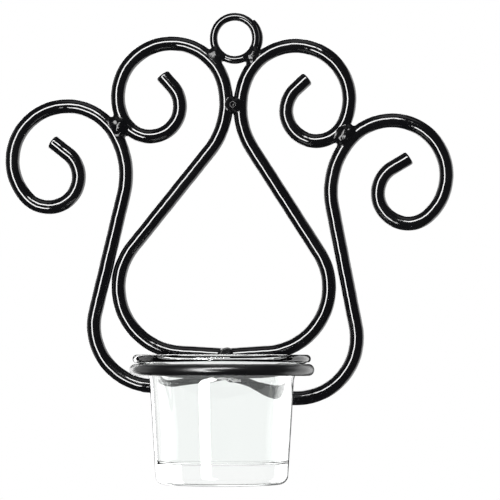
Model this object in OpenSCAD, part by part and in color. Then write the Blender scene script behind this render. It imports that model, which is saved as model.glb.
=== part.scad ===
// Wall sconce candle holder: four bent wire scrolls, a hanging eye and a cup ring,
// welded together, with a loose glass candle cup standing in the ring.
//
// Millimetres. The origin is the centre of the hanging eye on the wall, +Z is up,
// +X is to the right as seen from the room, and the wall is the plane y = 0 with
// the whole sconce on its -Y side.
//
// A scroll is a chain of bends and straight runs in one plane. Its pose at any
// point is [u, w, heading]: u to the right and w up from the point where the two
// inner scrolls touch, and the heading in degrees. Everything is worked out for
// the right-hand side, and the left-hand side is its mirror image. The pairs of
// values are [left, right]: the four scrolls come off one jig and are welded up
// by hand, so the two sides differ by a few degrees.

/* [Wire] */
// Diameter of the scroll wire
wire_d = 5; // [4:0.1:6.5]
// Diameter of the hanging eye's wire
eye_wire_d = 2.8; // [2.4:0.1:4]
// Diameter of the cup ring's wire
ring_wire_d = 4; // [3:0.1:5]
// Bevel on the free end of each scroll
tip_bevel = 0.7; // [0.2:0.1:1.2]

/* [Inner scrolls] */
// Radius of the neck bend, centre of the wire
neck_r = 27.3; // [22:0.1:33]
// Whole turn of the neck bend, in degrees
neck_turn = 52.6; // [48:0.1:58]
// Part of the neck bend above the touching point, in degrees
neck_above = [15.6, 18.3]; // [10:0.1:24]
// Radius of the top arch
arch_r = 18.8; // [15.6:0.1:22.6]
// Turn of the top arch, in degrees
arch_turn = 189.7; // [180:0.1:200]
// Radius of the curl at the arch's end
inner_curl_r = 10.5; // [9:0.1:12.6]
// Turn of the inner curl, in degrees
inner_curl_turn = 197.5; // [150:0.5:215]
// Straight tail at the inner curl's tip
inner_tail = 5.6; // [1:0.1:8]
// Straight run from the neck down to the belly
diagonal_run = 42.6; // [34:0.1:52]
// Radius of the belly bend
belly_r = 22.8; // [19:0.1:27.4]
// How far the bottom joint lies below the deeper belly
joint_sag = 0.5; // [0.2:0.1:2]

/* [Outer scrolls] */
// Where the outer scroll touches the inner curl, in degrees below the horizontal
touch_dip = [34.9, 38.7]; // [30:0.1:44]
// Radius of the crown
crown_r = 19.1; // [16:0.1:23]
// Turn of the crown, in degrees
crown_turn = 188.7; // [180:0.1:200]
// Radius of the curl at the crown's end
outer_curl_r = 10.5; // [8.7:0.1:12.6]
// Turn of the outer curl, in degrees
outer_curl_turn = 190; // [150:0.5:210]
// Straight tail at the outer curl's tip
outer_tail = 6.9; // [1:0.1:9]
// Radius of the shoulder bend below the crown
shoulder_r = 28.3; // [23:0.1:34]
// Gap between the belly and the side run
belly_gap = [0.2, 1.1]; // [0.1:0.1:4]
// Straight run down the side
side_run = 42.3; // [35:0.1:51]
// Radius of the bottom loop
loop_r = 21; // [17.5:0.1:25.2]

/* [Hanging eye] */
// Bore of the hanging eye
eye_bore = 12.2; // [9:0.1:16]
// How far the eye's lapped end lies outside its ring
eye_lap_out = 1; // [0.4:0.1:1.6]
// How far the lapped end lies behind the ring, against the wall
eye_lap_back = 0.9; // [0.4:0.1:1.2]
// Angles above the horizontal between which the ends lap
eye_lap = [-38, 50]; // [-60:1:80]
// Lean of the welded scrollwork, clockwise from the front, in degrees
lean = 1.6; // [-4:0.1:4]

/* [Cup ring] */
// Bore of the cup ring
ring_bore = 54; // [50:0.1:66]
// How far the ring is welded to the right of the bottom joint
ring_offset = -1; // [-4:0.1:4]

/* [Glass cup] */
// Height of the cup
cup_h = 43.5; // [36:0.1:70]
// How far the rim stands out past the ring's bore
rim_overhang = 3; // [2.4:0.1:4]
// Clearance between the cup's neck and the ring's bore
neck_clearance = 2.8; // [1.5:0.1:5]
// Narrowing of the body from the neck to the base, on radius
body_taper = 1.9; // [0.5:0.1:3]
// Radius of the flare under the rim
flare_r = 8; // [7:0.1:9]
// Wall thickness of the cup
glass_wall = 2.3; // [1.8:0.1:3]
// Diameter of the rounded bead round the rim
rim_bead_d = 2.8; // [2.5:0.1:4]
// Thickness of the cup's base
glass_base = 7; // [4:0.1:9]
// Rounding of the base's outer edge
base_edge_r = 3; // [1:0.1:3.5]
// Rounding between the floor and the wall inside
floor_edge_r = 1.5; // [0.5:0.1:2.5]
// Diameter of the straight seat for the candle
seat_d = 40; // [38:0.1:44]
// Length of the straight seat for the candle
seat_h = 8; // [4:0.5:14]
// Play between the cup and the ring it stands in, and the weld that its rim passes
play = 0.3; // [0.1:0.05:0.6]

/* [Welds] */
// Radius of the welds between the scrolls
weld_r = 2.75; // [2.4:0.05:3.2]
// Length that the shoulder welds run along the wires
shoulder_weld_run = 3; // [1:0.1:5]
// Radius of the welds on the hanging eye
eye_weld_r = 2.3; // [1.8:0.05:2.8]
// Length that the eye's welds run along the wires
eye_weld_run = 2; // [1:0.1:4]
// Radius of the weld on top of the cup ring
ring_weld_r = 1.9; // [1.6:0.05:2.4]
// How far that weld lies to the left of the inner scrolls' joint
upper_weld_shift = 0.5; // [0:0.1:2]
// Radius of the weld under the cup ring
lower_weld_r = 2.1; // [1.8:0.05:2.4]
// How far the lower weld lies to the right of the outer scrolls' joint
lower_weld_shift = 2.4; // [0:0.1:4]
// Radius of the weld between the outer scrolls' ends
end_weld_r = 2.3; // [1.8:0.05:2.45]
// How far the middle of a weld stands in front of where the wires touch
weld_stand = 0.8; // [0.3:0.05:1.2]

/* [Hidden] */
$fn = 64;
LEFT = 0;
RIGHT = 1;
SIDES = [LEFT, RIGHT];
big = 200;
// Each joint between two stretches of wire is closed by a collar, which stands a
// fiftieth of a millimetre proud, so that their surfaces meet at an edge
joint_gap = 0.1;
collar_half = 0.25;
collar_r = wire_d / 2 + 0.02;
paint = "#141416";
weld_paint = "#1c1c20";
ring_paint = "#232327";
glass = "#dfe8e6";

wire_r = wire_d / 2;
eye_wire_r = eye_wire_d / 2;
ring_wire_r = ring_wire_d / 2;

// ---- Poses along a scroll ----
function ahead(p, run) = [p[0] + run * cos(p[2]), p[1] + run * sin(p[2]), p[2]];
// Centre of a bend that starts at pose p: to the left for a turn over 0
function hub(p, r, turn) =
    [p[0] - sign(turn) * r * sin(p[2]), p[1] + sign(turn) * r * cos(p[2])];
function bent(p, r, turn) =
    let (c = hub(p, r, turn), h = p[2] + turn)
    [c[0] + sign(turn) * r * sin(h), c[1] - sign(turn) * r * cos(h), h];
// Angle from 0 to 360 degrees
function round_angle(a) = a - 360 * floor(a / 360);
function bearing(from, to) = atan2(to[1] - from[1], to[0] - from[0]);
function distance(a, b) = norm([a[0] - b[0], a[1] - b[1]]);
// Right turn of radius r from pose p that ends aimed straight at a target point
function turn_to(p, r, target) =
    let (c = hub(p, r, -1), tangent_at = bearing(c, target) + acos(r / distance(c, target)))
    -round_angle(bearing(c, p) - tangent_at);
function run_to(p, target) = distance(p, target);

// ---- Inner scroll: from the touching point up to the tip, and down to the joint ----
touch_up = [wire_r, 0, 90];
touch_down = [wire_r, 0, -90];
arch_start = [for (s = SIDES) bent(touch_up, neck_r, -neck_above[s])];
arch_hub = [for (s = SIDES) hub(arch_start[s], arch_r, -1)];
inner_curl_start = [for (s = SIDES) bent(arch_start[s], arch_r, -arch_turn)];
inner_curl_hub = [for (s = SIDES) hub(inner_curl_start[s], inner_curl_r, -1)];
inner_tail_start = [for (s = SIDES) bent(inner_curl_start[s], inner_curl_r, -inner_curl_turn)];
neck_below = [for (s = SIDES) neck_turn - neck_above[s]];
diagonal_start = [for (s = SIDES) bent(touch_down, neck_r, neck_below[s])];
belly_start = [for (s = SIDES) ahead(diagonal_start[s], diagonal_run)];
belly_hub = [for (s = SIDES) hub(belly_start[s], belly_r, -1)];
inner_joint = [0, min(belly_hub[LEFT][1], belly_hub[RIGHT][1]) - belly_r - joint_sag];
belly_turn = [for (s = SIDES) turn_to(belly_start[s], belly_r, inner_joint)];
inner_end_start = [for (s = SIDES) bent(belly_start[s], belly_r, belly_turn[s])];

// ---- Outer scroll: from where it touches the inner curl ----
touch_reach = inner_curl_r + wire_d;
outer_touch = [for (s = SIDES) [
    inner_curl_hub[s][0] + touch_reach * cos(touch_dip[s]),
    inner_curl_hub[s][1] - touch_reach * sin(touch_dip[s]), 90 - touch_dip[s]]];
outer_curl_start = [for (s = SIDES) bent(outer_touch[s], crown_r, -crown_turn)];
outer_tail_start = [for (s = SIDES) bent(outer_curl_start[s], outer_curl_r, -outer_curl_turn)];
shoulder_start = [for (s = SIDES) [outer_touch[s][0], outer_touch[s][1], -90 - touch_dip[s]]];
shoulder_hub = [for (s = SIDES) hub(shoulder_start[s], shoulder_r, 1)];
// The side run passes the belly at its gap, with the shoulder's hub on its other side
side_heading = [for (s = SIDES) bearing(shoulder_hub[s], belly_hub[s])
    + asin((shoulder_r + belly_r + wire_d + belly_gap[s]) / distance(shoulder_hub[s], belly_hub[s]))];
shoulder_turn = [for (s = SIDES) round_angle(side_heading[s] - shoulder_start[s][2])];
side_start = [for (s = SIDES) bent(shoulder_start[s], shoulder_r, shoulder_turn[s])];
loop_start = [for (s = SIDES) ahead(side_start[s], side_run)];
outer_joint = inner_joint - [0, wire_d];
loop_turn = [for (s = SIDES) turn_to(loop_start[s], loop_r, outer_joint)];
outer_end_start = [for (s = SIDES) bent(loop_start[s], loop_r, loop_turn[s])];

// The last runs are cut square, and stop where their corners meet at the joint
function square_cut(p) = wire_r * abs(sin(p[2]));
inner_end_run = [for (s = SIDES)
    run_to(inner_end_start[s], inner_joint) - square_cut(inner_end_start[s])];
outer_end_run = [for (s = SIDES)
    run_to(outer_end_start[s], outer_joint) - square_cut(outer_end_start[s])];

// ---- Hanging eye: it rests in the V between the two arches, its lap on the wall ----
eye_r = eye_bore / 2 + eye_wire_r;
eye_stand = wire_r - eye_wire_r - eye_lap_back;
eye_touch = arch_r + eye_r + sqrt(pow(wire_r + eye_wire_r, 2) - pow(eye_stand, 2));
// The two arch hubs, in the plane of the scrolls, with the left one mirrored to its place
left_hub = [-arch_hub[LEFT][0], arch_hub[LEFT][1]];
right_hub = arch_hub[RIGHT];
hub_gap = distance(left_hub, right_hub);
hub_slope = bearing(left_hub, right_hub);
eye_rise = sqrt(pow(eye_touch, 2) - pow(hub_gap / 2, 2));
eye_at = (left_hub + right_hub) / 2 + eye_rise * [-sin(hub_slope), cos(hub_slope)];

// ---- Places in the part's own frame ----
// A point of the scrollwork, leaned about the eye
function placed(p) = let (d = [p[0] - eye_at[0], p[1] - eye_at[1]])
    [d[0] * cos(lean) + d[1] * sin(lean), d[1] * cos(lean) - d[0] * sin(lean)];
inner_joint_at = placed(inner_joint);
outer_joint_at = placed(outer_joint);

ring_r = ring_bore / 2 + ring_wire_r;
ring_x = outer_joint_at[0] + ring_offset;
ring_y = -wire_d - ring_wire_r - ring_r;
ring_z = outer_joint_at[1];

// ---- Glass cup, in its own height from its base ----
neck_outer = ring_bore / 2 - neck_clearance;
rim_outer = ring_bore / 2 + rim_overhang;
base_outer = neck_outer - body_taper;
rim_bead_r = rim_bead_d / 2;
flare_hub_r = neck_outer + flare_r;
rim_reach = flare_r + glass_wall / 2;
// Angle that the flare sweeps before it meets the rounded rim
flare_sweep = acos((flare_hub_r - rim_outer + rim_bead_r) / rim_reach);
neck_h = cup_h - rim_bead_r - rim_reach * sin(flare_sweep);
// The flare sits on the ring, with play between them
seat_reach = flare_r - ring_wire_r - play;
ring_on_cup = neck_h + sqrt(pow(seat_reach, 2) - pow(flare_hub_r - ring_r, 2));
cup_z = ring_z - ring_on_cup;
seat_r = seat_d / 2;
seat_top = glass_base + seat_h;
neck_inner = neck_outer - glass_wall;

// ---- Building blocks ----
// A straight run of wire from pose p
module run_of_wire(p, run, r = wire_r)
    translate([p[0], 0, p[1]])
        rotate([0, 90 - p[2], 0])
            cylinder(h = run, r = r);

// A bend of wire from pose p, to the left for a turn over 0
module bend_of_wire(p, bend_r, turn) {
    c = hub(p, bend_r, turn);
    from = p[2] - 90 * sign(turn) + min(turn, 0);
    translate([c[0], 0, c[1]])
        rotate([90, 0, 0])
            rotate([0, 0, from])
                rotate_extrude(angle = abs(turn), $fn = 128)
                    translate([bend_r, 0])
                        circle(r = wire_r, $fn = 48);
}

// The same two, stopping just short of the joints at both ends
module short_run(p, run)
    run_of_wire(ahead(p, joint_gap), run - 2 * joint_gap);

module short_bend(p, bend_r, turn) {
    step = sign(turn) * joint_gap / bend_r * 180 / PI;
    bend_of_wire(bent(p, bend_r, step), bend_r, turn - 2 * step);
}

module collar(p)
    run_of_wire(ahead(p, -collar_half), 2 * collar_half, collar_r);

// The last stretch of a scroll, from a joint to a bevelled tip
module tail_of_wire(p, run) {
    q = ahead(p, joint_gap);
    length = run - joint_gap;
    translate([q[0], 0, q[1]])
        rotate([0, 90 - q[2], 0])
            rotate_extrude()
                polygon([[0, 0], [wire_r, 0], [wire_r, length - tip_bevel],
                    [wire_r - tip_bevel, length], [0, length]]);
}

module ring_of_wire(r, ring_wire)
    rotate_extrude($fn = 128)
        translate([r, 0])
            circle(r = ring_wire, $fn = 48);

// Puts a shape of the scroll plane in its place: mirrored for the left, leaned about
// the eye, and with the wire's back on the wall
module on_frame(side = RIGHT)
    rotate([0, lean, 0])
        translate([-eye_at[0], -wire_r, -eye_at[1]])
            mirror([side == LEFT ? 1 : 0, 0, 0])
                children();

module inner_scroll(side) {
    short_bend(touch_up, neck_r, -neck_above[side]);
    short_bend(arch_start[side], arch_r, -arch_turn);
    short_bend(inner_curl_start[side], inner_curl_r, -inner_curl_turn);
    tail_of_wire(inner_tail_start[side], inner_tail);
    short_bend(touch_down, neck_r, neck_below[side]);
    short_run(diagonal_start[side], diagonal_run);
    short_bend(belly_start[side], belly_r, belly_turn[side]);
    run_of_wire(ahead(inner_end_start[side], joint_gap), inner_end_run[side] - joint_gap);
    for (p = [touch_up, arch_start[side], inner_curl_start[side], inner_tail_start[side],
            diagonal_start[side], belly_start[side], inner_end_start[side]])
        collar(p);
}

module outer_scroll(side) {
    short_bend(outer_touch[side], crown_r, -crown_turn);
    short_bend(outer_curl_start[side], outer_curl_r, -outer_curl_turn);
    tail_of_wire(outer_tail_start[side], outer_tail);
    short_bend(shoulder_start[side], shoulder_r, shoulder_turn[side]);
    short_run(side_start[side], side_run);
    short_bend(loop_start[side], loop_r, loop_turn[side]);
    run_of_wire(ahead(outer_end_start[side], joint_gap), outer_end_run[side] - joint_gap);
    for (p = [outer_touch[side], outer_curl_start[side], outer_tail_start[side],
            side_start[side], loop_start[side], outer_end_start[side]])
        collar(p);
}

// Weld metal laid in three drops along a line of the scroll plane, and melted into the
// wires on both sides of it. The pose gives the line's middle and its heading.
module weld_metal(p, r, run, stand)
    for (drop = [-run / 2, 0, run / 2])
        let (e = ahead(p, drop)) translate([e[0], -stand, e[1]]) sphere(r = r);

// ---- Sub-parts ----
module inner_scroll_left()
    color(paint) on_frame(LEFT) inner_scroll(LEFT);

module inner_scroll_right()
    color(paint) on_frame(RIGHT) inner_scroll(RIGHT);

module outer_scroll_left()
    color(paint) on_frame(LEFT) outer_scroll(LEFT);

module outer_scroll_right()
    color(paint) on_frame(RIGHT) outer_scroll(RIGHT);

// A ring of wire whose one end laps behind the other on the right
module hanging_eye()
    color(paint)
        rotate([90, 0, 0]) {
            translate([0, 0, eye_wire_r + eye_lap_back])
                ring_of_wire(eye_r, eye_wire_r);
            translate([eye_lap_out, 0, eye_wire_r])
                rotate(eye_lap[0])
                    rotate_extrude(angle = eye_lap[1] - eye_lap[0], $fn = 128)
                        translate([eye_r, 0])
                            circle(r = eye_wire_r, $fn = 48);
        }

module cup_ring()
    color(ring_paint)
        translate([ring_x, ring_y, ring_z])
            ring_of_wire(ring_r, ring_wire_r);

module centre_weld()
    color(weld_paint)
        on_frame()
            translate([0, -weld_stand, 0])
                sphere(r = weld_r);

module shoulder_weld(side) {
    t = outer_touch[side];
    dip = touch_dip[side];
    middle = [t[0] - wire_r * cos(dip), t[1] + wire_r * sin(dip), t[2]];
    on_frame(side)
        weld_metal(middle, weld_r, shoulder_weld_run, weld_stand);
}

module shoulder_weld_left()
    color(weld_paint) shoulder_weld(LEFT);

module shoulder_weld_right()
    color(weld_paint) shoulder_weld(RIGHT);

// The eye's wire is thinner, so its weld is set by the touching point between the two
// wires' centres
module eye_weld(side) {
    eye_side = [side == LEFT ? -eye_at[0] : eye_at[0], eye_at[1]];
    toward = bearing(eye_side, arch_hub[side]);
    share = eye_wire_r / (eye_wire_r + wire_r);
    reach = eye_r + share * (eye_touch - eye_r - arch_r);
    middle = [eye_side[0] + reach * cos(toward), eye_side[1] + reach * sin(toward), toward + 90];
    on_frame(side)
        weld_metal(middle, eye_weld_r, eye_weld_run, 0);
}

module eye_weld_left()
    color(weld_paint) eye_weld(LEFT);

module eye_weld_right()
    color(weld_paint) eye_weld(RIGHT);

// Weld on the inner scrolls' ends, which runs down in front to the top of the ring.
// The rim passes it as the cup is lifted out, so it is kept off the rim's path.
module ring_weld_upper()
    color(weld_paint) difference() {
        union() {
            translate([inner_joint_at[0], -wire_r - weld_stand / 2, inner_joint_at[1]])
                sphere(r = weld_r);
            translate([inner_joint_at[0] - upper_weld_shift, -wire_d - weld_stand / 2,
                    inner_joint_at[1] - wire_r])
                sphere(r = ring_weld_r);
        }
        translate([ring_x, ring_y, ring_z + ring_wire_r])
            cylinder(h = big, r = rim_outer + play);
    }

// Weld under the ring, on the right-hand outer scroll's end
module ring_weld_lower()
    color(weld_paint)
        translate([outer_joint_at[0] + lower_weld_shift, -wire_d + weld_stand / 2,
                ring_z - ring_wire_r])
            sphere(r = lower_weld_r);

// Weld between the outer scrolls' ends, which reaches forward to the back of the ring
module end_weld()
    color(weld_paint)
        translate([outer_joint_at[0], -wire_r - weld_stand, outer_joint_at[1]])
            sphere(r = end_weld_r);

// Half section of the cup. Above the neck the wall lies between two arcs about the
// flare's hub, and ends in the bead round the rim.
module cup_section() {
    difference() {
        outside_section();
        inside_section();
        translate([flare_hub_r, neck_h])
            rotate(90 - flare_sweep)
                square(big);
    }
    translate([flare_hub_r - rim_reach * cos(flare_sweep), neck_h + rim_reach * sin(flare_sweep)])
        circle(r = rim_bead_r);
}

module outside_section() {
    difference() {
        polygon([[0, 0], [base_outer - base_edge_r, 0], [base_outer, base_edge_r],
            [neck_outer, neck_h], [flare_hub_r, neck_h], [flare_hub_r, cup_h], [0, cup_h]]);
        translate([flare_hub_r, neck_h]) circle(r = flare_r);
    }
    translate([base_outer - base_edge_r, base_edge_r]) circle(r = base_edge_r);
}

module inside_section() {
    difference() {
        polygon([[0, glass_base], [seat_r - floor_edge_r, glass_base],
            [seat_r, glass_base + floor_edge_r], [seat_r, seat_top], [neck_inner, neck_h],
            [flare_hub_r, neck_h], [flare_hub_r, big], [0, big]]);
        translate([flare_hub_r, neck_h]) circle(r = flare_r + glass_wall);
    }
    translate([seat_r - floor_edge_r, glass_base + floor_edge_r])
        circle(r = floor_edge_r);
}

module glass_cup()
    color(glass, 0.4)
        translate([ring_x, ring_y, cup_z])
            rotate_extrude($fn = 128)
                cup_section();

inner_scroll_left();
inner_scroll_right();
outer_scroll_left();
outer_scroll_right();
hanging_eye();
cup_ring();
centre_weld();
shoulder_weld_left();
shoulder_weld_right();
eye_weld_left();
eye_weld_right();
end_weld();
ring_weld_upper();
ring_weld_lower();
glass_cup();
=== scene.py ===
"""Wall sconce candle holder: painted wires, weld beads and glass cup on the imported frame.

Metres, in the CAD's frame: the origin is the centre of the hanging eye on the wall, +Z is
up, +X is to the right as seen from the room, and the sconce is on the -Y side of the wall.
"""

import cmath
import math

import bpy
import numpy as np
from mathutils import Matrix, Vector


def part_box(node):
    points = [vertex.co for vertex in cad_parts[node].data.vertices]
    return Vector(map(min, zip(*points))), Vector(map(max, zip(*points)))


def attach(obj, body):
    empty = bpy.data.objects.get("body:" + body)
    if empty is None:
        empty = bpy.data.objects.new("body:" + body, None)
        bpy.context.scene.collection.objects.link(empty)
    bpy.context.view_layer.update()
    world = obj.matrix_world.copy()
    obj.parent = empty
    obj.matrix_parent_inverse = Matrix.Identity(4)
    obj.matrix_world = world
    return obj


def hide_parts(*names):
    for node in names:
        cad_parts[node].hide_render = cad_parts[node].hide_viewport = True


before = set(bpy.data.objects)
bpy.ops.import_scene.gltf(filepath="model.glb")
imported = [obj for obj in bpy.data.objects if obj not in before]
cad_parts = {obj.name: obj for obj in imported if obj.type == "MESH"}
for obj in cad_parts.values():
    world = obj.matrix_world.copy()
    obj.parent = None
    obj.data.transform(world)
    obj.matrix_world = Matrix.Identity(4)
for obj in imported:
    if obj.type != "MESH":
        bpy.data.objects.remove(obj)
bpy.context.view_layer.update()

MM = 0.001
FRONT = np.array([0.0, -1.0, 0.0])

# ---- Sizes of the bent wires: millimetres and degrees, (left, right) where they differ ----
WIRE_R = 2.5
EYE_WIRE_R = 1.4
NECK_R, NECK_TURN, NECK_ABOVE = 27.3, 52.6, (15.6, 18.3)
ARCH_R, ARCH_TURN = 18.8, 189.7
INNER_CURL_R, INNER_CURL_TURN, INNER_TAIL = 10.5, 197.5, 5.6
DIAGONAL_RUN, BELLY_R, JOINT_SAG = 42.6, 22.8, 0.5
TOUCH_DIP = (34.9, 38.7)
CROWN_R, CROWN_TURN = 19.1, 188.7
OUTER_CURL_R, OUTER_CURL_TURN, OUTER_TAIL = 10.5, 190.0, 6.9
SHOULDER_R, BELLY_GAP, SIDE_RUN, LOOP_R = 28.3, (0.2, 1.1), 42.3, 21.0
LEAN = 1.6
EYE_LAP_OUT, EYE_LAP_BACK, EYE_LAP = 1.0, 0.9, (-38.0, 50.0)
LEFT, RIGHT = 0, 1

# ---- Sizes of the glass cup, in millimetres, from its base ----
NECK_OUTER, RIM_OUTER, BASE_OUTER = 24.2, 30.0, 22.3
FLARE_R, GLASS_WALL, RIM_BEAD_R = 8.0, 2.3, 1.4
GLASS_BASE, BASE_EDGE_R, FLOOR_EDGE_R = 7.0, 3.0, 1.5
SEAT_R, SEAT_H, CUP_H = 20.0, 8.0, 43.5
PUNT_DEPTH, PUNT_R = 0.7, 17.0


# ---- Meshes ----
def signed_volume(points, faces):
    """Sum over the triangles (a, b, c) of a . (b x c) / 6: over 0 if they face outwards."""
    a, b, c = (points[faces[:, k]] for k in range(3))
    return float(np.einsum("ij,ij->i", a, np.cross(b, c)).sum()) / 6


def piece(name, points, quads, fans, material, body, nodes):
    """A smooth, closed mesh object of quads and triangles that faces outwards."""
    split = np.vstack([quads[:, [0, 1, 2]], quads[:, [0, 2, 3]], fans])
    if signed_volume(points, split) < 0:
        quads, fans = quads[:, ::-1], fans[:, ::-1]
    mesh = bpy.data.meshes.new(name)
    mesh.from_pydata(points.tolist(), [], quads.tolist() + fans.tolist())
    mesh.shade_smooth()
    mesh.materials.append(material)
    mesh.update()
    thing = bpy.data.objects.new(name, mesh)
    bpy.context.scene.collection.objects.link(thing)
    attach(thing, body)
    if nodes:
        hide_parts(*nodes)
    return thing


def grid_faces(rows, columns, first=0, loop=False):
    """Quads between neighbouring rows of a grid that is closed across its columns, and
    along its rows too if it is a loop."""
    last = rows if loop else rows - 1
    i, j = np.meshgrid(np.arange(last), np.arange(columns), indexing="ij")
    here, there = i * columns, (i + 1) % rows * columns
    beside = (j + 1) % columns
    quads = np.stack([here + j, here + beside, there + beside, there + j], axis=-1)
    return quads.reshape(-1, 4) + first


def capped_grid(grid, first=0):
    """Points and faces of a tube-like grid (rows, columns, 3), each end closed by a fan of
    triangles round the mean of its last row."""
    rows, columns = grid.shape[:2]
    points = np.vstack([grid.reshape(-1, 3), grid[0].mean(0), grid[-1].mean(0)])
    j = np.arange(columns)
    beside = (j + 1) % columns
    pole = rows * columns
    start = np.stack([np.full(columns, pole), beside, j], axis=-1)
    row = (rows - 1) * columns
    end = np.stack([np.full(columns, pole + 1), row + j, row + beside], axis=-1)
    return points, grid_faces(rows, columns, first), np.vstack([start, end]) + first


NO_FANS = np.zeros((0, 3), dtype=int)


# ---- Centrelines of bent wire, as complex numbers u + i w in the plane of the scrolls ----
def hub(pose, radius, turn):
    """Centre of a bend that starts at the pose (place, heading)."""
    return pose[0] + 1j * math.copysign(radius, turn) * cmath.exp(1j * pose[1])


def bent(pose, radius, turn):
    centre = hub(pose, radius, turn)
    return centre + (pose[0] - centre) * cmath.exp(1j * turn), pose[1] + turn


def ahead(pose, run):
    return pose[0] + run * cmath.exp(1j * pose[1]), pose[1]


def turn_to(pose, radius, target):
    """Right turn that ends aimed straight at the target: from the bearing of the pose about
    the hub, back to that of the point where a tangent leaves for the target."""
    centre = hub(pose, radius, -1)
    tangent = cmath.phase(target - centre) + math.acos(radius / abs(target - centre))
    return -((cmath.phase(pose[0] - centre) - tangent) % math.tau)


def wire_path(pose, stretches, spacing=0.35):
    """Places and headings along a chain of stretches (size, turn). A bend of radius size
    turns about its hub, hub + (p - hub) e^(i turn t), and a straight run, with turn 0 and
    length size, is p + size t e^(i heading), for t from 0 to 1."""
    places, headings = [np.array([pose[0]])], [np.array([pose[1]])]
    for size, turn in stretches:
        steps = max(2, round((abs(turn) * size if turn else size) / spacing))
        t = np.linspace(0, 1, steps + 1)[1:]
        if turn:
            centre = hub(pose, size, turn)
            places.append(centre + (pose[0] - centre) * np.exp(1j * turn * t))
            pose = bent(pose, size, turn)
        else:
            places.append(pose[0] + size * t * cmath.exp(1j * pose[1]))
            pose = ahead(pose, size)
        headings.append(pose[1] - turn * (1 - t))
    return np.concatenate(places), np.concatenate(headings)


def joined(up, down):
    """One path out of two that leave the same point: the first reversed, then the second."""
    places = np.concatenate([up[0][::-1], down[0][1:]])
    headings = np.concatenate([up[1][::-1] + math.pi, down[1][1:]])
    return places, headings


def last_run(pose, target):
    """Length of a square-cut end that stops where its corner meets the target."""
    return abs(target - pose[0]) - WIRE_R * abs(math.sin(pose[1]))


def scroll_paths():
    """The inner and outer scroll's path on each side, in the plane of the scrolls."""
    rad = math.radians
    inner, outer, arch_hubs = [], [], []
    bellies = []
    for side in (LEFT, RIGHT):
        above, below = rad(NECK_ABOVE[side]), rad(NECK_TURN - NECK_ABOVE[side])
        up, down = (complex(WIRE_R), math.pi / 2), (complex(WIRE_R), -math.pi / 2)
        arch = bent(up, NECK_R, -above)
        arch_hubs.append(hub(arch, ARCH_R, -1))
        curl = bent(arch, ARCH_R, -rad(ARCH_TURN))
        diagonal = bent(down, NECK_R, below)
        belly = ahead(diagonal, DIAGONAL_RUN)
        bellies.append((up, down, above, below, curl, belly))
    joint_w = min(hub(b[5], BELLY_R, -1).imag for b in bellies) - BELLY_R - JOINT_SAG
    inner_joint, outer_joint = 1j * joint_w, 1j * (joint_w - 2 * WIRE_R)
    for side in (LEFT, RIGHT):
        up, down, above, below, curl, belly = bellies[side]
        belly_turn = turn_to(belly, BELLY_R, inner_joint)
        end = bent(belly, BELLY_R, belly_turn)
        upward = wire_path(up, [(NECK_R, -above), (ARCH_R, -rad(ARCH_TURN)),
                                (INNER_CURL_R, -rad(INNER_CURL_TURN)), (INNER_TAIL, 0)])
        downward = wire_path(down, [(NECK_R, below), (DIAGONAL_RUN, 0), (BELLY_R, belly_turn),
                                    (last_run(end, inner_joint), 0)])
        inner.append(joined(upward, downward))

        dip = rad(TOUCH_DIP[side])
        reach = INNER_CURL_R + 2 * WIRE_R
        touch = hub(curl, INNER_CURL_R, -1) + reach * cmath.exp(-1j * dip)
        crown, shoulder = (touch, math.pi / 2 - dip), (touch, -math.pi / 2 - dip)
        shoulder_hub, belly_hub = hub(shoulder, SHOULDER_R, 1), hub(belly, BELLY_R, -1)
        apart = belly_hub - shoulder_hub
        side_heading = cmath.phase(apart) + math.asin(
            (SHOULDER_R + BELLY_R + 2 * WIRE_R + BELLY_GAP[side]) / abs(apart))
        shoulder_turn = (side_heading - shoulder[1]) % math.tau
        loop = ahead(bent(shoulder, SHOULDER_R, shoulder_turn), SIDE_RUN)
        loop_turn = turn_to(loop, LOOP_R, outer_joint)
        end = bent(loop, LOOP_R, loop_turn)
        upward = wire_path(crown, [(CROWN_R, -rad(CROWN_TURN)),
                                   (OUTER_CURL_R, -rad(OUTER_CURL_TURN)), (OUTER_TAIL, 0)])
        downward = wire_path(shoulder, [(SHOULDER_R, shoulder_turn), (SIDE_RUN, 0),
                                        (LOOP_R, loop_turn), (last_run(end, outer_joint), 0)])
        outer.append(joined(upward, downward))
    return inner, outer, arch_hubs


def eye_place(arch_hubs):
    """Centre of the eye that rests on both arches: above the middle between their hubs by
    the height of the triangle whose long sides are the two touching distances."""
    eye_wire_y = EYE_WIRE_R + EYE_LAP_BACK
    touch = ARCH_R + eye_r + math.sqrt(
        (WIRE_R + EYE_WIRE_R) ** 2 - (WIRE_R - eye_wire_y) ** 2)
    left, right = -arch_hubs[LEFT].conjugate(), arch_hubs[RIGHT]
    rise = math.sqrt(touch ** 2 - abs(right - left) ** 2 / 4)
    return (left + right) / 2 + 1j * rise * cmath.exp(1j * cmath.phase(right - left))


def on_frame(path, side, eye_at):
    """A path in its place: mirrored for the left, then leaned about the eye."""
    places, headings = path
    if side == LEFT:
        places, headings = -places.conj(), math.pi - headings
    lean = math.radians(LEAN)
    return (places - eye_at) * np.exp(-1j * lean), headings - lean


def as_points(places, y=-WIRE_R):
    """Complex places in the plane of the wall as 3-D points, all in millimetres."""
    return np.stack([places.real, np.full(places.shape, y), places.imag], axis=-1)


# ---- Painted wire ----
CUT_TILT = 0.07


def paint_swell(along, around, seed):
    """How far the paint stands proud, in millimetres: long, shallow waves along the wire
    and round it, sum of a sin(2 pi s / length + k angle + phase)."""
    phase = np.random.default_rng(seed).uniform(0, math.tau, 4)
    waves = ((0.018, 13.0, 1), (0.012, 7.3, -2), (0.008, 4.1, 3), (0.006, 2.6, -1))
    return sum(size * np.sin(math.tau * along / length + turns * around + lag)
               for (size, length, turns), lag in zip(waves, phase))


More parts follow.
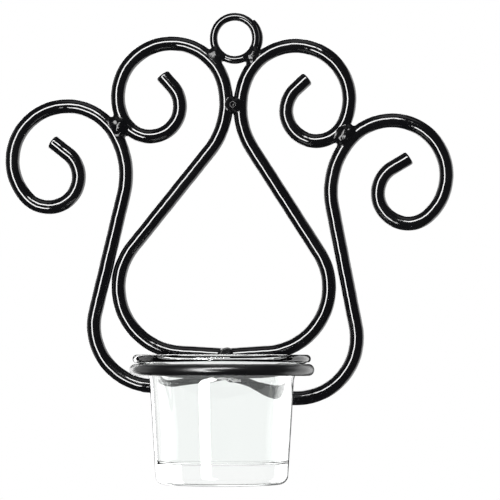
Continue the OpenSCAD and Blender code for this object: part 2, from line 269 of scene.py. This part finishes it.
def wire_grid(places, headings, radius, y, ends, seed, columns=40):
    """A wire swept along a flat path: p(s) + r (cos a n(s) + sin a front), with n the
    normal in the plane of the path. At each end the radius follows a quarter circle of the
    end's rounding, and then a flat, slightly tilted cut closes it."""
    length = np.concatenate([[0], np.cumsum(np.abs(np.diff(places)))])
    quarter = np.linspace(0, math.pi / 2, 7)
    shares = np.array([0.3, 0.62, 0.86])
    start_s = np.concatenate([shares * 0, ends[0] * (1 - np.cos(quarter))])
    start_r = np.concatenate([shares * (radius - ends[0]),
                              radius - ends[0] * (1 - np.sin(quarter))])
    end_s = length[-1] - np.concatenate([shares * 0, ends[1] * (1 - np.cos(quarter))])[::-1]
    end_r = np.concatenate([shares * (radius - ends[1]),
                            radius - ends[1] * (1 - np.sin(quarter))])[::-1]
    middle = length[(length > ends[0] + 0.1) & (length < length[-1] - ends[1] - 0.1)]
    s = np.concatenate([start_s, middle, end_s])
    r = np.concatenate([start_r, np.full(len(middle), radius), end_r])
    x = np.interp(s, length, places.real)
    z = np.interp(s, length, places.imag)
    heading = np.interp(s, length, np.unwrap(headings))
    angle = np.linspace(0, math.tau, columns, endpoint=False)
    swell = paint_swell(s[:, None], angle[None, :], seed)
    r = r[:, None] * (1 + swell / radius)
    cut = np.where(s < radius, 1, np.where(s > length[-1] - radius, -1, 0))[:, None]
    tilt = cut * CUT_TILT * r * np.cos(angle + seed)[None, :]
    across, out = r * np.cos(angle)[None, :], r * np.sin(angle)[None, :]
    return np.stack([
        x[:, None] - across * np.sin(heading)[:, None] + tilt * np.cos(heading)[:, None],
        y - out,
        z[:, None] + across * np.cos(heading)[:, None] + tilt * np.sin(heading)[:, None],
    ], axis=-1)


def ring_grid(centre, ring_r, wire_r, plane, seed, rows=360, columns=40):
    """A closed ring of wire: c + (R + r cos a) e(b) + r sin a n, with e(b) turning in the
    ring's plane and n its normal."""
    b = np.linspace(0, math.tau, rows, endpoint=False)[:, None]
    a = np.linspace(0, math.tau, columns, endpoint=False)[None, :]
    turns = round(math.tau * ring_r / 13.0)
    r = wire_r + 0.018 * np.sin(turns * b + a + seed) + 0.01 * np.sin(2 * turns * b - 2 * a)
    reach = ring_r + 0.1 * np.sin(2 * b + seed) + r * np.cos(a)
    first, second, normal = plane
    return (centre + reach[..., None] * (np.cos(b)[..., None] * first
                                         + np.sin(b)[..., None] * second)
            + (r * np.sin(a))[..., None] * normal)


# ---- Weld beads: widths of the fillets, and depth of the far skin under the wires, in mm ----
DROP_FILLET, CRATER_FILLET, TOE_FILLET, UNDER_WIRE = 0.5, 0.25, 1.1, 0.07


def smooth_min(a, b, width):
    """The smaller of two distances, with a fillet about as wide as width."""
    near = np.maximum(width - np.abs(a - b), 0) / width
    return np.minimum(a, b) - near * near * width / 4


def to_points(p, path):
    """Distance from each of p to the nearest point of the path."""
    gap = p[..., None, :] - path
    return np.sqrt(np.einsum("...k,...k->...", gap, gap).min(axis=-1))


def weld_grid(centre, along, drops, wires, reach, crater=None, keep_out=None,
              rows=72, columns=112):
    """A weld bead as a radius in every direction from its centre: the first root of a
    distance field, found by marching out and halving. The field is the smooth union of the
    drops of weld metal and of each wire, so the bead's toe runs out onto the wires in a
    fillet. Past the toe it lies just under the wires' surface, out to the reach."""
    along = along / np.linalg.norm(along)
    across = np.cross(along, FRONT)
    polar = np.linspace(0.02, math.pi - 0.02, rows)[:, None, None]
    turn = np.linspace(0, math.tau, columns, endpoint=False)[None, :, None]
    way = (np.cos(polar) * along
           + np.sin(polar) * (np.cos(turn) * across + np.sin(turn) * FRONT))
    close = [(path[np.linalg.norm(path - centre, axis=1) < reach + 3][::2], radius)
             for path, radius in wires]

    def field(distance):
        p = centre + distance[..., None] * way
        bead = None
        for a, c, f, radius in drops:
            middle = centre + a * along + c * across + f * FRONT
            drop = np.linalg.norm(p - middle, axis=-1) - radius
            bead = drop if bead is None else smooth_min(bead, drop, DROP_FILLET)
        if crater:
            a, c, f, radius = crater
            middle = centre + a * along + c * across + f * FRONT
            hole = radius - np.linalg.norm(p - middle, axis=-1)
            bead = -smooth_min(-bead, -hole, CRATER_FILLET)
        whole = np.full(bead.shape, 1e3)
        for path, radius in close:
            wire = to_points(p, path) - radius + UNDER_WIRE
            whole = np.minimum(whole, smooth_min(bead, wire, TOE_FILLET))
        if keep_out:
            whole = np.maximum(whole, keep_out(p))
        return np.maximum(whole, distance - reach)

    steps = np.linspace(0, reach + 0.01, 26)
    inside = np.zeros(way.shape[:2])
    outside = np.full(way.shape[:2], steps[-1])
    found = np.zeros(way.shape[:2], dtype=bool)
    for low, high in zip(steps[:-1], steps[1:]):
        out = (field(np.full(way.shape[:2], high)) > 0) & ~found
        inside[out], outside[out] = low, high
        found |= out
    for _ in range(14):
        middle = (inside + outside) / 2
        out = field(middle) > 0
        outside, inside = np.where(out, middle, outside), np.where(out, inside, middle)
    return centre + inside[..., None] * way


# ---- Glass cup ----
def arc(centre, radius, start, stop, steps):
    """Points of an arc in the (radius, height) half plane, angles in degrees."""
    angle = np.radians(np.linspace(start, stop, steps))
    return np.stack([centre[0] + radius * np.cos(angle),
                     centre[1] + radius * np.sin(angle)], axis=-1)


def line(start, stop, steps):
    return np.linspace(start, stop, steps)[1:-1]


def cup_profile():
    """The glass's outline from the middle of its underside, up the outside, round the rim
    and down the inside to the middle of its floor."""
    hub_r = NECK_OUTER + FLARE_R
    reach = FLARE_R + GLASS_WALL / 2
    sweep = math.degrees(math.acos((hub_r - RIM_OUTER + RIM_BEAD_R) / reach))
    neck = CUP_H - RIM_BEAD_R - reach * math.sin(math.radians(sweep))
    rim = (hub_r - reach * math.cos(math.radians(sweep)),
           neck + reach * math.sin(math.radians(sweep)))
    seat_top = GLASS_BASE + SEAT_H
    neck_inner = NECK_OUTER - GLASS_WALL
    t = np.linspace(0.02, 1, 14)[:, None]
    punt = np.hstack([PUNT_R * t, PUNT_DEPTH * (1 - t ** 2) ** 1.5])
    foot = BASE_OUTER - BASE_EDGE_R
    return np.vstack([
        punt, line((PUNT_R, 0), (foot, 0), 5),
        arc((foot, BASE_EDGE_R), BASE_EDGE_R, -90, 0, 10),
        line((BASE_OUTER, BASE_EDGE_R), (NECK_OUTER, neck), 40),
        arc((hub_r, neck), FLARE_R, 180, 180 - sweep, 18),
        arc(rim, RIM_BEAD_R, -sweep, 180 - sweep, 20)[1:-1],
        arc((hub_r, neck), FLARE_R + GLASS_WALL, 180 - sweep, 180, 18),
        line((neck_inner, neck), (SEAT_R, seat_top), 28),
        line((SEAT_R, seat_top), (SEAT_R, GLASS_BASE + FLOOR_EDGE_R), 12),
        arc((SEAT_R - FLOOR_EDGE_R, GLASS_BASE + FLOOR_EDGE_R), FLOOR_EDGE_R, 0, -90, 8),
        line((SEAT_R - FLOOR_EDGE_R, GLASS_BASE), (0.4, GLASS_BASE), 12),
    ])


def cup_grid(centre, base_z, columns=192):
    """The profile turned about the cup's axis, r(s) e(b) + h(s) up, with the faint waves of
    pressed glass: r grows by a few hundredths of a millimetre times sin(3 b) and sin(5 b)."""
    profile = cup_profile()
    r, h = profile[:, :1], profile[:, 1:]
    b = np.linspace(0, math.tau, columns, endpoint=False)[None, :]
    share = np.clip(r / RIM_OUTER, 0, 1)
    r = r + share * (0.03 * np.sin(3 * b + 0.12 * h) + 0.02 * np.sin(5 * b - 0.2 * h))
    return np.stack([centre[0] + r * np.cos(b), centre[1] + r * np.sin(b),
                     base_z + h + 0 * b], axis=-1)


# ---- Materials ----
def new_group(name, inputs, outputs):
    group = bpy.data.node_groups.new(name, "ShaderNodeTree")
    for title, kind, value in inputs:
        socket = group.interface.new_socket(title, in_out="INPUT", socket_type=kind)
        if value is not None:
            socket.default_value = value
    for title, kind in outputs:
        group.interface.new_socket(title, in_out="OUTPUT", socket_type=kind)
    return group, group.nodes.new("NodeGroupInput"), group.nodes.new("NodeGroupOutput")


def noise(tree, vector, scale, detail, roughness=0.5):
    node = tree.nodes.new("ShaderNodeTexNoise")
    node.inputs["Scale"].default_value = scale
    node.inputs["Detail"].default_value = detail
    node.inputs["Roughness"].default_value = roughness
    tree.links.new(vector, node.inputs["Vector"])
    return node.outputs["Fac"]


def spread(tree, value, low, high, to_low, to_high):
    """Maps low..high to to_low..to_high, held at the ends."""
    node = tree.nodes.new("ShaderNodeMapRange")
    for socket, number in zip(("From Min", "From Max"), (low, high)):
        node.inputs[socket].default_value = number
    for socket, target in zip(("To Min", "To Max"), (to_low, to_high)):
        if isinstance(target, bpy.types.NodeSocket):
            tree.links.new(target, node.inputs[socket])
        else:
            node.inputs[socket].default_value = target
    tree.links.new(value, node.inputs["Value"])
    return node.outputs["Result"]


def sprayed_paint_group():
    """Sprayed black enamel: colour that drifts a little, a gloss that comes and goes in
    patches, orange peel about a millimetre across and a few raised specks of dust."""
    group, given, made = new_group(
        "Sprayed paint",
        [("Position", "NodeSocketVector", None), ("Paint", "NodeSocketColor", None),
         ("Haze", "NodeSocketColor", None), ("Glossy", "NodeSocketFloat", 0.12),
         ("Dull", "NodeSocketFloat", 0.25), ("Peel scale", "NodeSocketFloat", 900.0)],
        [("Color", "NodeSocketColor"), ("Roughness", "NodeSocketFloat"),
         ("Height", "NodeSocketFloat")])
    links = group.links
    place = given.outputs["Position"]
    patches = noise(group, place, 70.0, 3.0)
    dust = noise(group, place, 1500.0, 1.0)
    specks = spread(group, dust, 0.74, 0.8, 0.0, 1.0)
    peel = group.nodes.new("ShaderNodeTexNoise")
    peel.inputs["Detail"].default_value = 2.0
    links.new(place, peel.inputs["Vector"])
    links.new(given.outputs["Peel scale"], peel.inputs["Scale"])

    haze = group.nodes.new("ShaderNodeMix")
    haze.data_type = "RGBA"
    links.new(spread(group, patches, 0.45, 0.75, 0.0, 0.6), haze.inputs["Factor"])
    links.new(given.outputs["Paint"], haze.inputs["A"])
    links.new(given.outputs["Haze"], haze.inputs["B"])
    links.new(haze.outputs["Result"], made.inputs["Color"])

    rough = spread(group, patches, 0.35, 0.7, given.outputs["Glossy"], given.outputs["Dull"])
    links.new(rough, made.inputs["Roughness"])

    height = group.nodes.new("ShaderNodeMath")
    height.operation = "MULTIPLY_ADD"
    links.new(specks, height.inputs[0])
    height.inputs[1].default_value = 0.2
    links.new(peel.outputs["Fac"], height.inputs[2])
    links.new(height.outputs["Value"], made.inputs["Height"])
    return group


def painted(name, group, paint, haze, glossy, dull, peel_scale, peel_depth, shine):
    material = bpy.data.materials.new(name)
    material.use_nodes = True
    tree = material.node_tree
    shader = tree.nodes["Principled BSDF"]
    place = tree.nodes.new("ShaderNodeTexCoord")
    skin = tree.nodes.new("ShaderNodeGroup")
    skin.node_tree = group
    tree.links.new(place.outputs["Object"], skin.inputs["Position"])
    skin.inputs["Paint"].default_value = (*paint, 1)
    skin.inputs["Haze"].default_value = (*haze, 1)
    skin.inputs["Glossy"].default_value = glossy
    skin.inputs["Dull"].default_value = dull
    skin.inputs["Peel scale"].default_value = peel_scale
    bump = tree.nodes.new("ShaderNodeBump")
    bump.inputs["Strength"].default_value = 1.0
    bump.inputs["Distance"].default_value = peel_depth
    tree.links.new(skin.outputs["Height"], bump.inputs["Height"])
    tree.links.new(skin.outputs["Color"], shader.inputs["Base Color"])
    tree.links.new(skin.outputs["Roughness"], shader.inputs["Roughness"])
    tree.links.new(bump.outputs["Normal"], shader.inputs["Normal"])
    shader.inputs["Specular IOR Level"].default_value = shine
    return material


def clear_glass():
    """Pressed soda glass: clear, faintly green-grey, with a slow ripple in its surface."""
    material = bpy.data.materials.new("clear_glass")
    material.use_nodes = True
    tree = material.node_tree
    shader = tree.nodes["Principled BSDF"]
    place = tree.nodes.new("ShaderNodeTexCoord").outputs["Object"]
    ripple = noise(tree, place, 55.0, 2.0)
    bump = tree.nodes.new("ShaderNodeBump")
    bump.inputs["Strength"].default_value = 0.35
    bump.inputs["Distance"].default_value = 0.0002
    tree.links.new(ripple, bump.inputs["Height"])
    tree.links.new(bump.outputs["Normal"], shader.inputs["Normal"])
    smears = noise(tree, place, 30.0, 4.0)
    tree.links.new(spread(tree, smears, 0.5, 0.8, 0.0, 0.03), shader.inputs["Roughness"])
    tint = tree.nodes.new("ShaderNodeMix")
    tint.data_type = "RGBA"
    tint.inputs["A"].default_value = (0.975, 0.99, 0.982, 1)
    tint.inputs["B"].default_value = (0.955, 0.975, 0.965, 1)
    tree.links.new(smears, tint.inputs["Factor"])
    tree.links.new(tint.outputs["Result"], shader.inputs["Base Color"])
    shader.inputs["Transmission Weight"].default_value = 1.0
    shader.inputs["IOR"].default_value = 1.5
    return material


def floor_material():
    material = bpy.data.materials.new("pale_floor")
    material.use_nodes = True
    shader = material.node_tree.nodes["Principled BSDF"]
    shader.inputs["Base Color"].default_value = (0.9, 0.9, 0.9, 1)
    shader.inputs["Roughness"].default_value = 0.9
    shader.inputs["Specular IOR Level"].default_value = 0.1
    return material


# ---- The frame: four scrolls, the eye and the ring ----
eye_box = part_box("hanging_eye")
eye_r = (eye_box[1][2] - eye_box[0][2]) / 2 / MM - EYE_WIRE_R
ring_low, ring_high = (np.array(corner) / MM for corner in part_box("cup_ring"))
ring_wire_r = (ring_high[2] - ring_low[2]) / 2
ring_r = (ring_high[0] - ring_low[0]) / 2 - ring_wire_r
ring_centre = (ring_low + ring_high) / 2
cup_low, cup_high = (np.array(corner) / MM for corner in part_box("glass_cup"))
cup_centre = (cup_low + cup_high) / 2

peel = sprayed_paint_group()
wire_paint = painted("gloss_black_paint", peel, (0.004, 0.004, 0.005), (0.008, 0.008, 0.009),
                     0.08, 0.15, 900.0, 0.000003, 0.5)
weld_paint = painted("weld_black_paint", peel, (0.004, 0.004, 0.005), (0.009, 0.009, 0.010),
                     0.14, 0.28, 1400.0, 0.000012, 0.22)
ring_paint = painted("satin_black_paint", peel, (0.005, 0.005, 0.006), (0.010, 0.010, 0.011),
                     0.26, 0.36, 700.0, 0.00001, 0.5)

inner_paths, outer_paths, arch_hubs = scroll_paths()
eye_at = eye_place(arch_hubs)
centrelines = {}
TIP, CUT = 0.7, 0.3
for seed, (name, paths, side) in enumerate([
        ("inner_scroll_left", inner_paths, LEFT), ("inner_scroll_right", inner_paths, RIGHT),
        ("outer_scroll_left", outer_paths, LEFT), ("outer_scroll_right", outer_paths, RIGHT)]):
    places, headings = on_frame(paths[side], side, eye_at)
    centrelines[name] = as_points(places)
    grid = wire_grid(places, headings, WIRE_R, -WIRE_R, (TIP, CUT), seed)
    points, quads, fans = capped_grid(grid * MM)
    piece(name + "_wire", points, quads, fans, wire_paint, "frame", [name])

eye_plane = (np.array([1.0, 0, 0]), np.array([0, 0, 1.0]), FRONT)
eye_centre = np.array([0, -EYE_WIRE_R - EYE_LAP_BACK, 0])
eye_ring = ring_grid(eye_centre, eye_r, EYE_WIRE_R, eye_plane, 5, rows=240, columns=36)
eye_circle = eye_ring.mean(axis=1)
low, high = (math.radians(a) for a in EYE_LAP)
lap_start = complex(EYE_LAP_OUT) + eye_r * cmath.exp(1j * low), low + math.pi / 2
lap_places, lap_headings = wire_path(lap_start, [(eye_r, high - low)], 0.2)
lap = wire_grid(lap_places, lap_headings, EYE_WIRE_R, -EYE_WIRE_R, (0.3, 0.5), 6, columns=36)
lap_first = eye_ring.shape[0] * eye_ring.shape[1]
lap_points, lap_quads, lap_fans = capped_grid(lap, lap_first)
eye_quads = grid_faces(eye_ring.shape[0], eye_ring.shape[1], loop=True)
piece("hanging_eye_wire", np.vstack([eye_ring.reshape(-1, 3), lap_points]) * MM,
      np.vstack([eye_quads, lap_quads]), lap_fans, wire_paint, "frame", ["hanging_eye"])

ring_plane = (np.array([1.0, 0, 0]), np.array([0, 1.0, 0]), np.array([0, 0, 1.0]))
ring = ring_grid(ring_centre, ring_r, ring_wire_r, ring_plane, 8)
ring_circle = ring.mean(axis=1)
piece("cup_ring_wire", ring.reshape(-1, 3) * MM, grid_faces(*ring.shape[:2], loop=True),
      NO_FANS, ring_paint, "frame", ["cup_ring"])

# ---- Welds ----
inner_left, inner_right = centrelines["inner_scroll_left"], centrelines["inner_scroll_right"]
outer_left, outer_right = centrelines["outer_scroll_left"], centrelines["outer_scroll_right"]
RIM_PLAY = 0.35
RIM_CLEAR = RIM_OUTER + RIM_PLAY


def rim_path(p):
    """Over 0 inside the cylinder that the cup's rim sweeps as it is lifted."""
    from_axis = np.hypot(p[..., 0] - cup_centre[0], p[..., 1] - cup_centre[1])
    return np.minimum(RIM_CLEAR - from_axis, p[..., 2] - ring_high[2])


def heading_near(path, place):
    """Direction of a path where it passes closest to a place."""
    nearest = int(np.linalg.norm(path - place, axis=1).argmin())
    nearest = min(max(nearest, 1), len(path) - 2)
    return path[nearest + 1] - path[nearest - 1]


# How far each kind of weld reaches from its middle, in mm
ROUND, LONG, SMALL = 5.2, 6.2, 4.4
WELDS = [
    # node, wires it joins, which one it runs along, reach, drops (along, across, front, r)
    ("centre_weld", [(inner_left, WIRE_R), (inner_right, WIRE_R)], inner_left, ROUND,
     [(0, 0, 0.1, 2.75), (-1.3, 0.5, 0.3, 1.5), (1.2, -0.6, 0.2, 1.6)],
     (0.1, 0.1, 3.25, 1.0), None),
    ("shoulder_weld_left", [(inner_left, WIRE_R), (outer_left, WIRE_R)], outer_left, LONG,
     [(-1.7, 0.2, 0.0, 2.5), (0.1, -0.2, 0.2, 2.7), (1.8, 0.2, -0.1, 2.4),
      (0.9, 1.2, 1.7, 0.9), (-0.7, -1.1, 2.0, 0.8)], None, None),
    ("shoulder_weld_right", [(inner_right, WIRE_R), (outer_right, WIRE_R)], outer_right, LONG,
     [(-1.9, -0.2, 0.1, 2.4), (-0.1, 0.2, 0.1, 2.75), (1.7, -0.1, 0.1, 2.5),
      (-1.0, 1.0, 1.9, 0.8), (0.8, -0.9, 2.1, 0.85), (2.2, 0.8, 1.5, 0.7)], None, None),
    ("eye_weld_left", [(inner_left, WIRE_R), (eye_circle, EYE_WIRE_R)], inner_left, SMALL,
     [(-0.9, 0.1, 0.4, 2.1), (0.8, 0, 0.3, 2.1), (0.1, 0.5, 1.6, 1.0)], None, None),
    ("eye_weld_right", [(inner_right, WIRE_R), (eye_circle, EYE_WIRE_R)], inner_right, SMALL,
     [(-1.0, 0.1, 0.5, 2.1), (0.9, 0.1, 0.4, 2.2), (-0.9, 0.8, 1.8, 0.8),
      (0.6, -0.6, 2.0, 0.75), (0.9, 0.9, 1.6, 0.7)], None, None),
    ("end_weld", [(outer_left, WIRE_R), (outer_right, WIRE_R), (ring_circle, ring_wire_r)],
     outer_left, SMALL, [(0, 0, 0, 2.3), (1.0, 0.3, -0.4, 1.7)], None, None),
    ("ring_weld_upper", [(inner_left, WIRE_R), (inner_right, WIRE_R),
                         (ring_circle, ring_wire_r)], inner_left, ROUND,
     [(0, 0.9, -0.3, 2.5), (-0.3, -1.6, 1.1, 1.8), (-1.5, -0.2, 1.3, 1.3),
      (1.4, 0.2, 1.0, 1.4), (0.4, -2.3, 1.5, 1.3)], None, rim_path),
    ("ring_weld_lower", [(outer_right, WIRE_R), (ring_circle, ring_wire_r)],
     outer_right, SMALL, [(0, 0, 0, 2.1), (1.5, -0.1, -0.2, 1.5), (-1.1, 0.2, 0, 1.5)],
     None, None),
]
for node, wires, run, reach, drops, crater, keep_out in WELDS:
    weld_low, weld_high = (np.array(corner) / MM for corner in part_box(node))
    middle = (weld_low + weld_high) / 2
    grid = weld_grid(middle, heading_near(run, middle), drops, wires, reach, crater, keep_out)
    points, quads, fans = capped_grid(grid * MM)
    piece(node + "_bead", points, quads, fans, weld_paint, "frame", [node])

# ---- Glass cup ----
points, quads, fans = capped_grid(cup_grid(cup_centre, cup_low[2]) * MM)
piece("candle_cup", points, quads, fans, clear_glass(), "cup", ["glass_cup"])


# ---- Studio ----
def studio_floor(level, radius, rows=24, columns=96):
    """A flat disc, r e(b), on a grid of rings."""
    r = np.linspace(0.02, radius, rows)[:, None]
    b = np.linspace(0, math.tau, columns, endpoint=False)[None, :]
    grid = np.stack([r * np.cos(b), r * np.sin(b), np.full((rows, columns), level)], axis=-1)
    mesh = bpy.data.meshes.new("floor")
    mesh.from_pydata(grid.reshape(-1, 3).tolist(), [],
                     grid_faces(rows, columns)[:, ::-1].tolist() + [list(range(columns))])
    mesh.materials.append(floor_material())
    floor = bpy.data.objects.new("floor", mesh)
    floor.visible_glossy = floor.visible_transmission = False
    bpy.context.scene.collection.objects.link(floor)


def soft_light(name, place, aim, width, height, watts):
    light = bpy.data.lights.new(name, "AREA")
    light.shape = "RECTANGLE"
    light.size, light.size_y = width, height
    light.energy = watts
    lamp = bpy.data.objects.new(name, light)
    lamp.location = place
    lamp.rotation_euler = (Vector(aim) - Vector(place)).to_track_quat("-Z", "Y").to_euler()
    bpy.context.scene.collection.objects.link(lamp)


def studio_world(seen, surround):
    """White where it is seen straight, through the glass or by the matt floor, half so in
    reflections inside the glass, and dim in every other reflection."""
    world = bpy.data.worlds.new("studio")
    world.use_nodes = True
    tree = world.node_tree
    path = tree.nodes.new("ShaderNodeLightPath")
    inside = tree.nodes.new("ShaderNodeMath")
    inside.operation = "MINIMUM"
    tree.links.new(path.outputs["Transmission Depth"], inside.inputs[0])
    inside.inputs[1].default_value = 0.5
    clear = inside
    for kind in ("Is Camera Ray", "Is Diffuse Ray", "Is Transmission Ray"):
        either = tree.nodes.new("ShaderNodeMath")
        either.operation = "MAXIMUM"
        tree.links.new(clear.outputs["Value"], either.inputs[0])
        tree.links.new(path.outputs[kind], either.inputs[1])
        clear = either
    level = tree.nodes.new("ShaderNodeMix")
    level.data_type = "RGBA"
    level.inputs["A"].default_value = (surround, surround, surround * 1.03, 1)
    level.inputs["B"].default_value = (seen, seen, seen, 1)
    tree.links.new(clear.outputs["Value"], level.inputs["Factor"])
    tree.links.new(level.outputs["Result"], tree.nodes["Background"].inputs["Color"])
    bpy.context.scene.world = world


def arc_light(name, place, strength, steps=60):
    """A glowing arc round a line of sight square to the wall, r (cos b, 0, sin b) from the
    place, which the camera itself doesn't see. Its reflection is one thin line on each
    wire, whichever way the wire runs."""
    b = np.radians(np.linspace(*ARC_SPAN, steps + 1))[None, :]
    r = np.array(ARC_RADII)[:, None]
    grid = np.stack([place[0] + r * np.cos(b), place[1] + 0 * r * b, place[2] + r * np.sin(b)],
                    axis=-1)
    quads = [[j, j + 1, j + steps + 2, j + steps + 1] for j in range(steps)]
    mesh = bpy.data.meshes.new(name)
    mesh.from_pydata(grid.reshape(-1, 3).tolist(), [], quads)
    glow = bpy.data.materials.new(name + "_glow")
    glow.use_nodes = True
    shader = glow.node_tree.nodes["Principled BSDF"]
    shader.inputs["Base Color"].default_value = (0, 0, 0, 1)
    shader.inputs["Emission Color"].default_value = (1, 1, 1, 1)
    shader.inputs["Emission Strength"].default_value = strength
    mesh.materials.append(glow)
    lamp = bpy.data.objects.new(name, mesh)
    lamp.visible_camera = lamp.visible_diffuse = lamp.visible_transmission = False
    bpy.context.scene.collection.objects.link(lamp)


HEART = (0.005, 0.0, -0.075)
ARC_RADII, ARC_SPAN = (0.39, 0.74), (70, 252)
studio_floor(-0.30, 2.5)
studio_world(seen=1.0, surround=0.045)
arc_light("front_arc", (0.005, -1.0, -0.075), 28.0)
arc_light("back_arc", (0.005, 1.0, -0.075), 5.0)
soft_light("top", (0.2, -0.3, 1.3), HEART, 0.9, 0.9, 1.5)
soft_light("right", (0.95, 0.75, -0.2), HEART, 1.2, 1.8, 13)
soft_light("left", (-1.1, 0.55, 0.0), HEART, 0.7, 1.4, 3)
soft_light("back", (-0.4, 1.2, 0.8), HEART, 1.0, 1.0, 1.5)

VIEW_WIDTH = 0.1748
VIEW_DISTANCE = 1.0
camera = bpy.data.cameras.new("camera")
camera.sensor_width = 36
camera.lens = camera.sensor_width * VIEW_DISTANCE / VIEW_WIDTH
eye_level = Vector((0.00535, -VIEW_DISTANCE, -0.114))
look_at = Vector((0.00535, 0, -0.0741))
viewer = bpy.data.objects.new("camera", camera)
viewer.location = eye_level
viewer.rotation_euler = (look_at - eye_level).to_track_quat("-Z", "Y").to_euler()
bpy.context.scene.collection.objects.link(viewer)
bpy.context.scene.camera = viewer
bpy.context.scene.view_settings.view_transform = "Standard"
